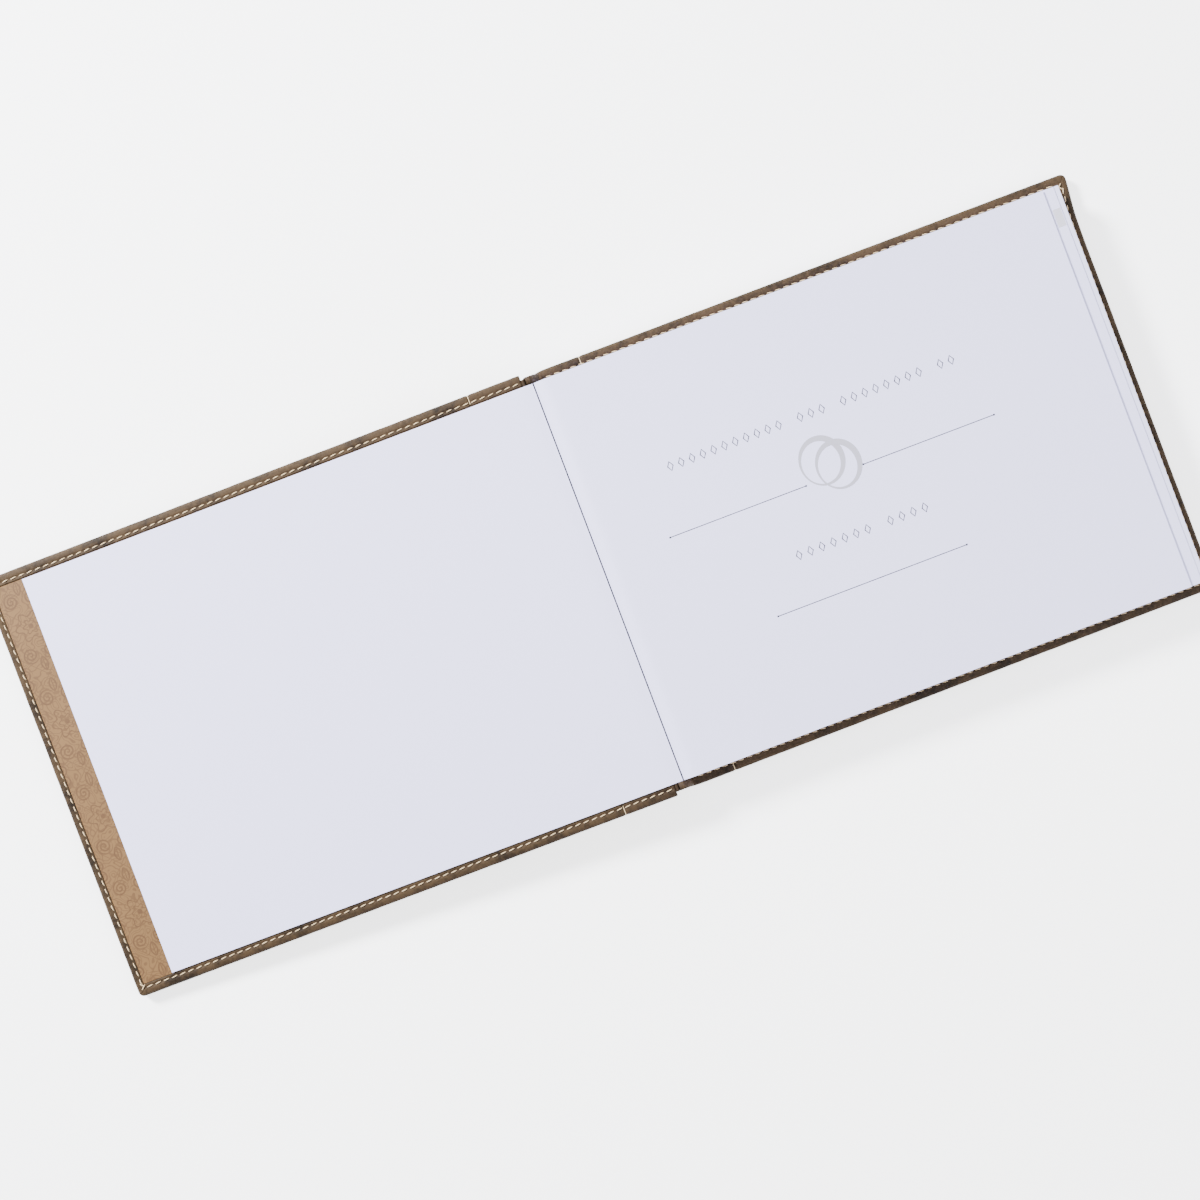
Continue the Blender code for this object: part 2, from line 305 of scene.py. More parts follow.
def board_look(name, colour, shade):
    """Greyboard: pressed mixed fibres."""
    look = Look(name)
    layers = look.noise(700, 4, 0.7, look.stretch((1.0, 1.0, 6.0)))
    flecks = look.cells(1600).below(0.18, 0.1)
    look.set("Base Color", look.mix(layers * 0.8 + flecks * 0.3, colour, shade))
    look.set("Roughness", 0.92)
    look.bump(layers, 0.08 * MM)
    return look.material


def foam_look():
    """Open-cell padding foam."""
    look = Look("padding_foam")
    pores = look.cells(1900)
    look.set("Base Color", look.mix(pores, linear(196, 190, 170), linear(236, 232, 216)))
    look.set("Roughness", 0.95)
    look.bump(pores, 0.25 * MM)
    return look.material


def cloth_look(name, colour, shade, per_metre):
    """Open plain weave."""
    look = Look(name)
    _, y, z = look.axes()
    period = 1 / per_metre
    warp = y.fold(period).below(period * 0.16, period * 0.1)
    weft = z.fold(period).below(period * 0.16, period * 0.1)
    weave = warp.over(weft)
    look.set("Base Color", look.mix(weave, shade, colour))
    look.set("Roughness", 0.9)
    look.set("Sheen Weight", 0.2)
    look.bump(weave, 0.1 * MM)
    return look.material


def rosette(x, y, radius, petals, width):
    """Outline of a flower and the disc at its heart."""
    distance = (x * x + y * y).math("SQRT")
    angle = y.math("ARCTAN2", x)
    edge = (angle * petals).math("COSINE") * (radius * 0.22) + radius
    blur = width * 0.6
    outline = (distance - edge).abs().below(width, blur)
    inner = (distance - edge * 0.5).abs().below(width * 0.8, blur)
    heart = distance.below(radius * 0.2, blur)
    return outline.over(inner).over(heart)


def scroll(x, y, radius, width, hand):
    """Spiral of one and a half turns, fading out past the radius."""
    distance = (x * x + y * y).math("SQRT")
    turn = y.math("ARCTAN2", x) * (hand / (2 * pi))
    pitch = radius * 0.42
    arm = (distance / pitch + turn).fold(1.0) * pitch
    return arm.below(width, width * 0.6) * distance.below(radius, radius * 0.1)


def leaf_shape(x, y, length, width, line):
    """Pointed leaf outline with a mid-rib, along x."""
    bulge = (x / (length / 2)).math("POWER", 2.0) * -1 + 1
    edge = (y.abs() - bulge * width).abs().below(line, line * 0.6)
    inside = x.abs().below(length / 2, line)
    rib = y.abs().below(line * 0.6, line * 0.5)
    return edge.over(rib) * inside


def heart_shape(x, y, size, line):
    """Small filled heart."""
    across = x.abs() / size
    up = y / size - across * 0.55
    return (across * across + up * up).below(1.0, line)


def damask_look(name):
    """Tan endpaper with a tonal damask, hearts, leaves and a fine diagonal trellis."""
    look = Look(name)
    x, y, _ = look.axes()
    tile = 41 * MM
    half = tile / 2
    line = 0.32 * MM
    warp = look.noise(120, 2) * (0.9 * MM) - 0.45 * MM
    x = x + 1.0 + warp
    y = y + 1.0 - warp
    fx = x.math("PINGPONG", half)
    fy = y.math("PINGPONG", half)
    pattern = rosette(fx, fy, 5.2 * MM, 6.0, line)
    pattern = pattern.over(rosette(fx - half, fy - half, 4.4 * MM, 5.0, line))
    pattern = pattern.over(scroll(fx - half * 0.52, fy - half * 0.18, 3.6 * MM, line, 1.0))
    pattern = pattern.over(scroll(fx - half * 0.2, fy - half * 0.56, 3.4 * MM, line, -1.0))
    pattern = pattern.over(scroll(fx - half * 0.84, fy - half * 0.42, 3.2 * MM, line, -1.0))
    pattern = pattern.over(scroll(fx - half * 0.46, fy - half * 0.88, 3.2 * MM, line, 1.0))
    pattern = pattern.over(heart_shape(fx - half * 0.52, fy - half * 0.52, 1.9 * MM, 0.3))
    pattern = pattern.over(leaf_shape(fx - half * 0.75, fy, 6.0 * MM, 1.3 * MM, line))
    pattern = pattern.over(leaf_shape(fy - half * 0.78, fx, 6.0 * MM, 1.3 * MM, line))
    trellis = (x + y).fold(tile / 2).below(0.2 * MM, 0.16 * MM)
    trellis = trellis.over((x - y).fold(tile / 2).below(0.2 * MM, 0.16 * MM))
    curls = (look.noise(300, 0) * 6.0).fold(1.0).below(0.15, 0.12)
    uneven = look.noise(420, 3) * 0.6 + 0.45
    ink = pattern.over(trellis * 0.8).over(curls * 0.75) * uneven
    cloud = look.noise(60, 4)
    ground = look.mix(cloud, linear(114, 84, 49), linear(104, 76, 42))
    look.set("Base Color", look.mix(ink, ground, linear(76, 50, 27)))
    look.set("Roughness", look.noise(1500, 3) * 0.15 + 0.5)
    look.set("Specular IOR Level", 0.35)
    look.bump(look.noise(2400, 3) + ink * 0.5, 0.012 * MM)
    return look.material


def ink_look(name, colour, shade):
    """Matt printing ink, slightly uneven."""
    look = Look(name)
    look.set("Base Color", look.mix(look.noise(1800, 3), colour, shade))
    look.set("Roughness", 0.8)
    look.set("Specular IOR Level", 0.2)
    return look.material


def floor_look():
    """Matt white sweep that glows a little, so that it comes out as pale as a studio's."""
    look = Look("floor_white")
    cloud = look.noise(3, 3)
    look.set("Base Color", look.mix(cloud, (0.93, 0.93, 0.93, 1), (0.95, 0.95, 0.95, 1)))
    look.set("Roughness", 0.9)
    look.set("Specular IOR Level", 0.05)
    look.set("Emission Color", (1, 1, 1, 1))
    look.set("Emission Strength", FLOOR_GLOW)
    return look.material


LEATHER = leather_look("cover_leather", linear(28, 20, 12), linear(66, 51, 34))
BAND = leather_look("band_leather", linear(30, 21, 13), linear(64, 49, 33))
STITCH = thread_look("stitch_thread", linear(236, 211, 166), linear(178, 146, 104))
LINEN = thread_look("linen_thread", linear(226, 220, 202), linear(190, 180, 156), 3600)
PAGE = paper_look("leaf_paper", linear(223, 221, 255), linear(220, 218, 253))
SECTION = paper_look("section_paper", linear(225, 224, 254), linear(213, 212, 242), 0.02)
ENDPAPER = damask_look("endpaper_damask")
GREYBOARD = board_look("greyboard", linear(152, 148, 140), linear(122, 118, 110))
KRAFT = board_look("kraft_paper", linear(172, 140, 104), linear(148, 116, 82))
MULL = cloth_look("mull_cloth", linear(226, 220, 204), linear(168, 160, 140), 1100)
FOAM = foam_look()
INK = ink_look("print_grey", linear(30, 30, 38), linear(46, 46, 55))
PALE_INK = ink_look("print_pale", linear(172, 170, 184), linear(166, 164, 178))
TINT_INK = ink_look("print_tint", linear(198, 196, 210), linear(192, 190, 204))


# ---- mesh helpers ----------------------------------------------------------------------


def finish_mesh(name, bm, material, smooth=True):
    """Object in the scene from the mesh built so far."""
    bmesh.ops.recalc_face_normals(bm, faces=bm.faces)
    for face in bm.faces:
        face.smooth = smooth
    mesh = bpy.data.meshes.new(name)
    bm.to_mesh(mesh)
    bm.free()
    mesh.materials.append(material)
    obj = bpy.data.objects.new(name, mesh)
    bpy.context.scene.collection.objects.link(obj)
    return obj


def strip_faces(bm, rows, closed=False):
    """Quads between neighbouring rows of vertices."""
    count = len(rows[0])
    for low, high in zip(rows, rows[1:]):
        for i in range(count if closed else count - 1):
            j = (i + 1) % count
            bm.faces.new((low[i], low[j], high[j], high[i]))


def close_body(bm, rows):
    """Closed body through rows of vertices that each go once round it."""
    strip_faces(bm, rows, closed=True)
    bm.faces.new(rows[0])
    bm.faces.new(rows[-1])


def steps(start, end, size):
    """Evenly spaced values from start to end, about size apart."""
    count = max(1, ceil(abs(end - start) / size))
    return [start + (end - start) * i / count for i in range(count + 1)]


def to_cover(side):
    """From cover coordinates (out from the joint, head, up from the outer face) to the row frame."""
    if side == "back":
        return Matrix.Translation((COVER_X0, 0, 0))
    mirrored = Matrix.Diagonal((-1, 1, 1, 1))
    place = Matrix.Translation((-HINGE_GAP, 0, -outer_face_depth())) @ mirrored
    return Matrix.Translation(HINGE) @ Matrix.Rotation(-LEAN, 4, "Y") @ place


def outer_face_depth():
    """Distance of the front cover's outer face from its hinge line, as its far edge is on the table."""
    reach = HINGE_GAP + COVER_W - CAD_EDGE_R
    return (HINGE.z - CAD_EDGE_R - reach * sin(LEAN)) / cos(LEAN) + CAD_EDGE_R


# ---- cover skins -----------------------------------------------------------------------

# (inset, depth below the inner face) in mm: along the turn-in, over its cut edge, under the endpaper
TURN_IN_SHAPE = (
    *((0.1 * step, 0.02) for step in range(24, 45, 2)),
    (4.6, 0.05),
    (4.8, 0.12),
    (4.95, 0.26),
    (5.0, 0.42),
    (5.02, 0.78),
    (8.0, 0.78),
)


def skin_profile():
    """(inset from the cover's edge, height) of the leather, from the outer face round to the inside."""
    points = []
    for inset in (14, 11, 9, 7.5, 6.2, 5, 4, 3.1, 2.4):
        fall = 0.34 * max(0.0, 1 - inset / 9.0) ** 2
        points.append((inset * MM, fall * MM))
    low, high = 0.24 * MM, COVER_T - 0.02 * MM
    middle = (low + high) / 2
    rise = (high - low) / 2
    for i in range(1, 14):
        a = -pi / 2 + pi * i / 14
        bulge = (1 - abs(sin(a)) ** SOFT_EDGE) ** (1 / SOFT_EDGE)
        points.append((EDGE_R * (1 - bulge), middle + rise * sin(a)))
    for inset, drop in TURN_IN_SHAPE:
        points.append((inset * MM, COVER_T - drop * MM))
    return points


def inward(points):
    """Unit normals of the profile, pointing into the leather."""
    normals = []
    for i in range(len(points)):
        a = points[max(0, i - 1)]
        b = points[min(len(points) - 1, i + 1)]
        run, rise = b[0] - a[0], b[1] - a[1]
        size = hypot(run, rise) or 1
        normals.append((rise / size, -run / size))
    return normals


PROFILE = skin_profile()
INWARD = inward(PROFILE)


def stitch_groove(inset, along, line):
    """The pull of the edge stitching, deepest at its needle holes."""
    off_line = (inset - line) / (0.5 * MM)
    phase = (along / STITCH_PITCH) % 1
    hole = exp(-(((phase - 0.86) / 0.12) ** 2))
    return (0.20 + 0.14 * hole) * MM * exp(-off_line * off_line)


def wrinkle(x, y, z):
    """Small unevenness of the leather, fine and broad."""
    place = Vector((x, y, z))
    return 0.05 * MM * noise.noise(place * 260) + 0.05 * MM * noise.noise(place * 70)


def seam_round(distance):
    """The leather's cut edge rolls down at the seam."""
    near = max(0.0, 1 - distance / (0.8 * MM))
    return 0.28 * MM * near * near


def outline(inset, u0):
    """Tail, outer edge and head of a cover at one inset.

    Each point is (out from the joint, towards the head, share of the corner's arc, and the
    outward direction's two parts).
    """
    radius = max(CORNER_R - inset, 0.04 * MM)
    bend_u = COVER_W - inset - radius
    bend_v = COVER_HALF - inset - radius
    tail = [
        (u0 + (bend_u - u0) * i / HEAD_STEPS, -bend_v - radius, 0.0, 0.0, -1.0)
        for i in range(HEAD_STEPS + 1)
    ]
    for i in range(1, CORNER_STEPS):
        a = pi / 2 * i / CORNER_STEPS
        u, v = bend_u + radius * sin(a), -bend_v - radius * cos(a)
        tail.append((u, v, a / (pi / 2), sin(a), -cos(a)))
    edge = [
        (bend_u + radius, bend_v * (2 * i / OUTER_STEPS - 1), 0.0, 1.0, 0.0)
        for i in range(OUTER_STEPS + 1)
    ]
    head = [(u, -v, share, out_u, -out_v) for u, v, share, out_u, out_v in reversed(tail)]
    return tail + edge + head


def narrower(u, inset):
    """How far the turn-in's rows move out, so that it is narrower along the outer edge."""
    first = 3.2 * MM
    extra = (min(inset, TURN_IN) - first) * (TURN_IN - OUTER_TURN_IN) / (TURN_IN - first)
    reach = 12 * MM
    share = (u - COVER_W + reach) / (reach - inset)
    return max(0.0, extra) * min(1.0, max(0.0, share))


def mitre(inset, share):
    """Depth of the fold where two turn-ins meet at a corner."""
    if not 0.8 * MM < inset < TURN_IN or share == 0:
        return 0.0
    return 0.22 * MM * exp(-(((share - 0.5) / 0.12) ** 2))


def stand_out(bm, side):
    """Let the back cover's head corner stand out a little."""
    if side == "front":
        return
    for vert in bm.verts:
        away = hypot(COVER_W - vert.co.x, COVER_HALF - vert.co.y)
        vert.co.x += CORNER_STAND_OUT * exp(-((away / CORNER_REACH) ** 2))


def cover_skin(side):
    """Padded leather over one board, turned in along three sides."""
    bm = bmesh.new()
    rows = []
    start = SEAM + SEAM_SLIT
    for k, ((inset, height), (into_edge, into_z)) in enumerate(zip(PROFILE, INWARD)):
        row = []
        on_inside = k > len(PROFILE) - len(TURN_IN_SHAPE) - 2
        for u, v, share, out_u, out_v in outline(inset, start):
            depth = seam_round(u - start) + wrinkle(u, v, height) + SKIN_SINK
            if on_inside:
                along, line = (v, OUTER_INSET) if out_u > 0.7 else (u, HEAD_INSET[side])
                depth += stitch_groove(inset, along, line) + mitre(inset, share)
                u += narrower(u, inset)
            step_in = into_edge * depth
            place = (u - out_u * step_in, v - out_v * step_in, height + into_z * depth)
            row.append(bm.verts.new(place))
        rows.append(row)
    strip_faces(bm, rows)
    bm.faces.new(rows[0])
    bm.faces.new(rows[-1])
    bm.faces.new([row[0] for row in rows] + [row[-1] for row in reversed(rows)])
    stand_out(bm, side)
    bmesh.ops.transform(bm, matrix=to_cover(side), verts=bm.verts)
    return finish_mesh(f"{side}_cover_skin", bm, LEATHER)


def joint_taper(side, u, flip):
    """The back cover's leather draws in towards the spine, more at the head."""
    if side == "front":
        return 0.0
    t = max(0.0, 1 - u / (6.5 * MM))
    return (0.8 * MM if flip > 0 else 0.5 * MM) * t * t * (3 - 2 * t)


def band_skin(side):
    """Unpadded leather along the joint, turned in at head and tail."""
    bm = bmesh.new()
    rows = []
    end = SEAM - SEAM_SLIT
    path = list(zip(PROFILE, INWARD))
    for u in steps(0.0, end, 0.45 * MM):
        row = []
        for flip in (-1, 1):
            for (inset, height), (into_edge, into_z) in path if flip < 0 else reversed(path):
                depth = seam_round(end - u) + wrinkle(u + 1, inset * flip, height) + SKIN_SINK
                depth += seam_round(u) * 0.6
                if height > COVER_T - 0.5 * MM:
                    depth += stitch_groove(inset, u, HEAD_INSET[side])
                v = flip * (COVER_HALF - inset - into_edge * depth - joint_taper(side, u, flip))
                row.append(bm.verts.new((u, v, height + into_z * depth)))
        rows.append(row)
    close_body(bm, rows)
    bmesh.ops.transform(bm, matrix=to_cover(side), verts=bm.verts)
    return finish_mesh(f"{side}_band_skin", bm, BAND)


# ---- stitches --------------------------------------------------------------------------


def stitch(bm, middle, along, up, length=STITCH_LENGTH, slant=0.0):
    """One stitch: a two-ply thread that dives at both ends."""
    across = up.cross(along).normalized()
    along = (Matrix.Rotation(slant, 3, up) @ along).normalized()
    across = (Matrix.Rotation(slant, 3, up) @ across).normalized()
    rings, sides = 13, 8
    rows = []
    for i in range(rings):
        t = -1 + 2 * i / (rings - 1)
        plump = sqrt(max(0.0, 1 - abs(t) ** 5)) * 0.85 + 0.15
        lift = 0.12 * MM - 0.42 * MM * abs(t) ** 3
        centre = middle + along * (t * length / 2) + up * lift
        row = []
        for j in range(sides):
            a = 2 * pi * j / sides
            r = THREAD_R * plump * (1 + 0.14 * cos(2 * a - 5.5 * t))
            row.append(bm.verts.new(centre + across * (r * 1.15 * cos(a)) + up * (r * sin(a))))
        rows.append(row)
    close_body(bm, rows)


def straight_run(bm, start, end, up, phase=0.0):
    """Evenly spaced stitches from start to end."""
    line = end - start
    along = line.normalized()
    count = int((line.length - STITCH_LENGTH) / STITCH_PITCH) + 1
    for i in range(count):
        wander = 0.08 * MM * noise.noise(Vector((i * 1.7, phase, line.length * 9)))
        side = up.cross(along) * wander
        middle = start + along * (STITCH_LENGTH / 2 + i * STITCH_PITCH) + side
        tilt = -0.13 + 0.05 * noise.noise(Vector((phase, i * 2.3, 0.5)))
        stitch(bm, middle, along, up, slant=tilt)


def edge_stitches(side):
    """Edge stitching on the turn-ins, with the crossed stitches that lock each corner."""
    bm = bmesh.new()
    up = Vector((0, 0, 1))
    height = COVER_T - 0.06 * MM
    half = COVER_HALF - HEAD_INSET[side]
    far = COVER_W - OUTER_INSET
    start = FIRST_STITCH[side]
    for end in (-1, 1):
        first, last = (Vector((u, end * half, height)) for u in (start, far))
        straight_run(bm, first, last, up, end)
    gap = 1.4 * MM
    straight_run(bm, Vector((far, -half + gap, height)), Vector((far, half - gap, height)), up, 3.0)
    nearer = 0.3 * MM if side == "front" else 1.0 * MM
    for end in (-1, 1):
        corner = Vector((far - nearer, end * (half - nearer), height + 0.1 * MM))
        stitch(bm, corner, Vector((1, end, 0)).normalized(), up, 2.6 * MM)
        beside = corner + Vector((0.2 * MM, end * -1.0 * MM, 0))
        stitch(bm, beside, Vector((1, -end, 0)).normalized(), up, 2.0 * MM)
    stand_out(bm, side)
    bmesh.ops.transform(bm, matrix=to_cover(side), verts=bm.verts)
    return finish_mesh(f"{side}_edge_stitches", bm, STITCH)


def band_stitches(side):
    """Stitches along the seam on the outer face, and the ticks that wrap over the edges."""
    bm = bmesh.new()
    down = Vector((0, 0, -1))
    reach = COVER_HALF - 3.2 * MM
    height = 0.42 * MM
    straight_run(bm, Vector((SEAM, -reach, height)), Vector((SEAM, reach, height)), down, 4.0)
    for end in (-1, 1):
        tick_over_edge(bm, end)
    bmesh.ops.transform(bm, matrix=to_cover(side), verts=bm.verts)
    return finish_mesh(f"{side}_seam_stitches", bm, STITCH)


def tick_over_edge(bm, end):
    """One thread laid round the soft edge, from the outer face to the turn-in."""
    rows = []
    sides = 8
    path = [(p, n) for p, n in zip(PROFILE, INWARD) if p[0] < 4.3 * MM]
    for (inset, height), (into_y, into_z) in path:
        sink = 0.16 * MM + (0.12 * MM if height < 1.0 * MM else 0.0)
        y = end * (COVER_HALF - inset - into_y * sink)
        centre = Vector((SEAM, y, height + into_z * sink))
        out = Vector((0, end * into_y, -into_z)).normalized()
        row = []
        for j in range(sides):
            a = 2 * pi * j / sides
            offset = Vector((1, 0, 0)) * (THREAD_R * 0.9 * cos(a)) + out * (THREAD_R * 0.75 * sin(a))
            row.append(bm.verts.new(centre + offset))
        rows.append(row)
    close_body(bm, rows)


# ---- leaves ----------------------------------------------------------------------------


def gutter_dip(distance, amount):
    """How far a leaf is drawn down at a distance from its fold."""
    return amount * exp(-((distance / GUTTER_REACH) ** 2))


def sheet_of_paper(name, distances, heights, x_of, thickness):
    """Bent leaf: x and height given by distance from the fold, closed, with thin edges."""
    bm = bmesh.new()
    rows = []
    for v in steps(-PAGE_HALF, PAGE_HALF, 7 * MM):
        top = [bm.verts.new((x_of(d), v, heights(d, v) + thickness)) for d in distances]
        low = [bm.verts.new((x_of(d), v, heights(d, v))) for d in reversed(distances)]
        rows.append(top + low)
    close_body(bm, rows)
    obj = finish_mesh(name, bm, PAGE)
    mark_sharp(obj)
    return obj


def mark_sharp(obj):
    obj.data.set_sharp_from_angle(angle=SHARP_ANGLE)


def print_underside(obj):
    """A flyleaf's other side is the patterned endpaper."""
    obj.data.materials.append(ENDPAPER)
    for face in obj.data.polygons:
        if face.normal.z < -0.5:
            face.material_index = 1


def spread(width):
    """Distances from the fold, close together where the leaf bends."""
    near = steps(0.27 * MM, 10 * MM, 0.45 * MM)
    far = steps(10 * MM, width, 6 * MM)
    return near + far[1:]


def ripple(d, v, seed):
    """Slight rise and fall of a leaf, none at the fold."""
    fade = min(1.0, d / (30 * MM))
    return 0.045 * MM * fade * noise.noise(Vector((d * 22, v * 22, seed)))


def right_leaf_height(base, seed, curl):
    """Height of a leaf's underside; a curl above 0 lifts its outer edge."""

    def height(d, v):
        lift = curl * max(0.0, (d - 120 * MM) / (100 * MM)) ** 2
        return base + ripple(d, v, seed) - gutter_dip(d, GUTTER_DIP) + lift

    return height


TITLE_HEIGHT = right_leaf_height(TITLE_LOW.z, 1.5, 0.24 * MM)
GUEST_HEIGHT = right_leaf_height(GUEST_LOW.z, 7.5, -0.12 * MM)


def right_leaf(node, outer_edge, height):
    """A leaf on the block, bound at the fold."""
    distances = spread(outer_edge - FOLD.x)
    obj = sheet_of_paper(f"{node}_sheet", distances, height, lambda d: FOLD.x + d, LEAF_T)
    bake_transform(obj)
    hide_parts(node)


def front_flyleaf():
    """White side up; it leans at the cover's angle."""
    low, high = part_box("front_flyleaf")
    width = (FOLD.x - low.x) / cos(LEAN)
    slope = sin(LEAN) / cos(LEAN)
    base = high.z - LEAF_T / cos(LEAN) + (FOLD.x - high.x) * slope

    def height(d, v):
        return base - d * cos(LEAN) * slope + ripple(d, v, 3.5) - gutter_dip(d, FLYLEAF_DIP)

    def x_of(d):
        return FOLD.x - d * cos(LEAN)

    obj = sheet_of_paper("front_flyleaf_sheet", spread(width), height, x_of, LEAF_T)
    print_underside(obj)
    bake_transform(obj)
    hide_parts("front_flyleaf")


def back_flyleaf():
    """The last leaf, flat between the block and the back cover."""
    low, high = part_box("back_flyleaf")
    distances = spread(high.x - low.x)
    thickness = high.z - low.z
    obj = sheet_of_paper(
        "back_flyleaf_sheet", distances, lambda d, v: low.z, lambda d: low.x + d, thickness
    )
    print_underside(obj)
    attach(obj, "back_case")
    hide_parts("back_flyleaf")


# ---- sections --------------------------------------------------------------------------


def folded_sheet(bm, x0, x1, low, high, paper, dip, rng):
    """One sheet folded at the spine into two leaves."""
    outer = (high - low) / 2
    middle = (high + low) / 2
    inner = max(outer - paper, 0.012 * MM)
    centre = x0 + outer
    near = steps(0.4 * MM, 12 * MM, 1.2 * MM)
    ends = [x1 - rng.uniform(0, 0.22) * MM, x1 - rng.uniform(0, 0.22) * MM]

    def z_at(x, z):
        return z - gutter_dip(x - x0, dip)

    def leg(z, end):
        return [(centre + d, z) for d in near] + [(end, z)]

    around = [pi / 2 + pi * i / 8 for i in range(9)]
    profile = list(reversed(leg(middle + outer, ends[0])))
    profile += [(centre + outer * cos(a), middle + outer * sin(a)) for a in around]
    profile += leg(middle - outer, ends[1])
    profile += list(reversed(leg(middle - inner, ends[1])))
    profile += [(centre + inner * cos(a), middle + inner * sin(a)) for a in reversed(around)]
    profile += leg(middle + inner, ends[0])
    head = PAGE_HALF - rng.uniform(0, 0.12) * MM
    tail = -PAGE_HALF + rng.uniform(0, 0.12) * MM
    rows = [[bm.verts.new((x, v, z_at(x, z))) for x, z in profile] for v in (tail, head)]
    close_body(bm, rows)


def section_pages(index):
    """Eight leaves: four sheets nested in one another and folded at the spine."""
    node = f"section_{index + 1}"
    low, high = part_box(node)
    rng = random.Random(40 + index)
    bm = bmesh.new()
    pitch = (high.z - low.z) / LEAVES
    paper = pitch * 0.86
    dip = GUTTER_DIP * ((index + 1) / SECTIONS) ** 2
    for sheet in range(LEAVES // 2):
        inset = sheet * pitch
        folded_sheet(bm, low.x + inset, high.x, low.z + inset, high.z - inset, paper, dip, rng)
    obj = finish_mesh(f"section_pages_{index + 1}", bm, SECTION)
    mark_sharp(obj)
    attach(obj, "back_case")
    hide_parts(node)


# ---- print -----------------------------------------------------------------------------

INK_FLOAT = 0.012 * MM
INK_T = 0.018 * MM
PRINT_X = 99.5 * MM  # middle of the printed design, from the fold


def ribbon(bm, centre_line, half_widths, closed=False, raised=0.0):
    """Thin layer of ink along a line on the title leaf."""
    rows = []
    count = len(centre_line)
    for i, (x, y) in enumerate(centre_line):
        before = centre_line[(i - 1) % count] if closed or i else centre_line[0]
        after = centre_line[(i + 1) % count] if closed or i < count - 1 else centre_line[-1]
        size = hypot(after[0] - before[0], after[1] - before[1])
        across = (-(after[1] - before[1]) / size, (after[0] - before[0]) / size)
        half = half_widths[i] if isinstance(half_widths, list) else half_widths
        row = []
        for sign, lift in ((-1, 0), (1, 0), (1, INK_T), (-1, INK_T)):
            px, py = x + across[0] * half * sign, y + across[1] * half * sign
            base = TITLE_HEIGHT(px, py) + LEAF_T + INK_FLOAT + raised
            row.append(bm.verts.new((FOLD.x + px, py, base + lift)))
        rows.append(row)
    if closed:
        rows.append(rows[0])
    strip_faces(bm, rows, closed=True)
    if not closed:
        bm.faces.new(rows[0])
        bm.faces.new(rows[-1])


def ring_points(cx, cy, rx, ry, count=72):
    turns = [2 * pi * i / count for i in range(count)]
    return [(cx + rx * cos(a), cy + ry * sin(a)) for a in turns]


def printed(name, bm, material, leaf="title_leaf"):
    """Finish a layer of ink and let it turn with its leaf."""
    obj = finish_mesh(name, bm, material, smooth=False)
    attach(obj, leaf)


def rule(name, x0, x1, y):
    """Fine rule with a small dot at each end."""
    bm = bmesh.new()
    ribbon(bm, [(x, y) for x in steps(x0, x1, 5 * MM)], 0.16 * MM)
    for x in (x0, x1):
        ribbon(bm, [(x - 0.34 * MM, y), (x + 0.34 * MM, y)], 0.32 * MM)
    printed(name, bm, INK)


def ornament_row(name, groups, x0, x1, y):
    """Row of small open lozenges in groups, where a caption would stand."""
    bm = bmesh.new()
    total = sum(groups) + len(groups) - 1
    advance = (x1 - x0) / (total - 1)
    tall = 1.9 * MM
    wide = 1.15 * MM
    place = 0
    for group in groups:
        for _ in range(group):
            cx = x0 + advance * place
            corners = [(cx + wide, y), (cx, y + tall), (cx - wide, y), (cx, y - tall)]
            ribbon(bm, corners, 0.22 * MM, closed=True)
            place += 1
        place += 1
    printed(name, bm, INK)


def linked_rings():
    """Two linked rings with thick and thin strokes, between the upper rules."""
    for number, (dx, dy) in enumerate(((-2.9, 1.8), (2.9, -1.8))):
        bm = bmesh.new()
        points = ring_points(PRINT_X + dx * MM, 13.0 * MM + dy * MM, 8.6 * MM, 9.4 * MM)
        count = len(points)
        widths = [(0.78 + 0.46 * cos(2 * pi * i / count - 0.7)) * MM for i in range(count)]
        ribbon(bm, points, widths, closed=True, raised=number * 1.2 * INK_T)
        printed(f"print_ring_{number + 1}", bm, PALE_INK)


def guest_leaf_patch():
    """Faint grey box at the head of the guest leaf's last column."""
    bm = bmesh.new()
    x0, x1 = TITLE_HIGH.x + 1.2 * MM, GUEST_HIGH.x - 0.3 * MM
    rows = []
    for y in steps(68.5 * MM, 76.0 * MM, 2.5 * MM):
        row = []
        for x, lift in ((x0, 0), (x1, 0), (x1, INK_T), (x0, INK_T)):
            z = GUEST_HEIGHT(x - FOLD.x, y) + LEAF_T + INK_FLOAT + lift
            row.append(bm.verts.new((x, y, z)))
        rows.append(row)
    close_body(bm, rows)
    printed("guest_leaf_print", bm, TINT_INK, "guest_leaf")


def title_print():
    """Two caption rows, three rules and the rings, at distances from the fold and the mid-height."""
    ornament_row("print_caption_upper", (11, 3, 8, 2), 39.5 * MM, 159.5 * MM, 34.4 * MM)
    rule("print_rule_left", 29.3 * MM, 87.4 * MM, 7.8 * MM)
    rule("print_rule_right", 111.9 * MM, 167.9 * MM, 7.8 * MM)
    linked_rings()
    ornament_row("print_caption_lower", (7, 4), 75.0 * MM, 128.8 * MM, -17.0 * MM)
    rule("print_rule_lower", 58.5 * MM, 139.3 * MM, -36.9 * MM)
    guest_leaf_patch()


# ---- spine and joints ------------------------------------------------------------------


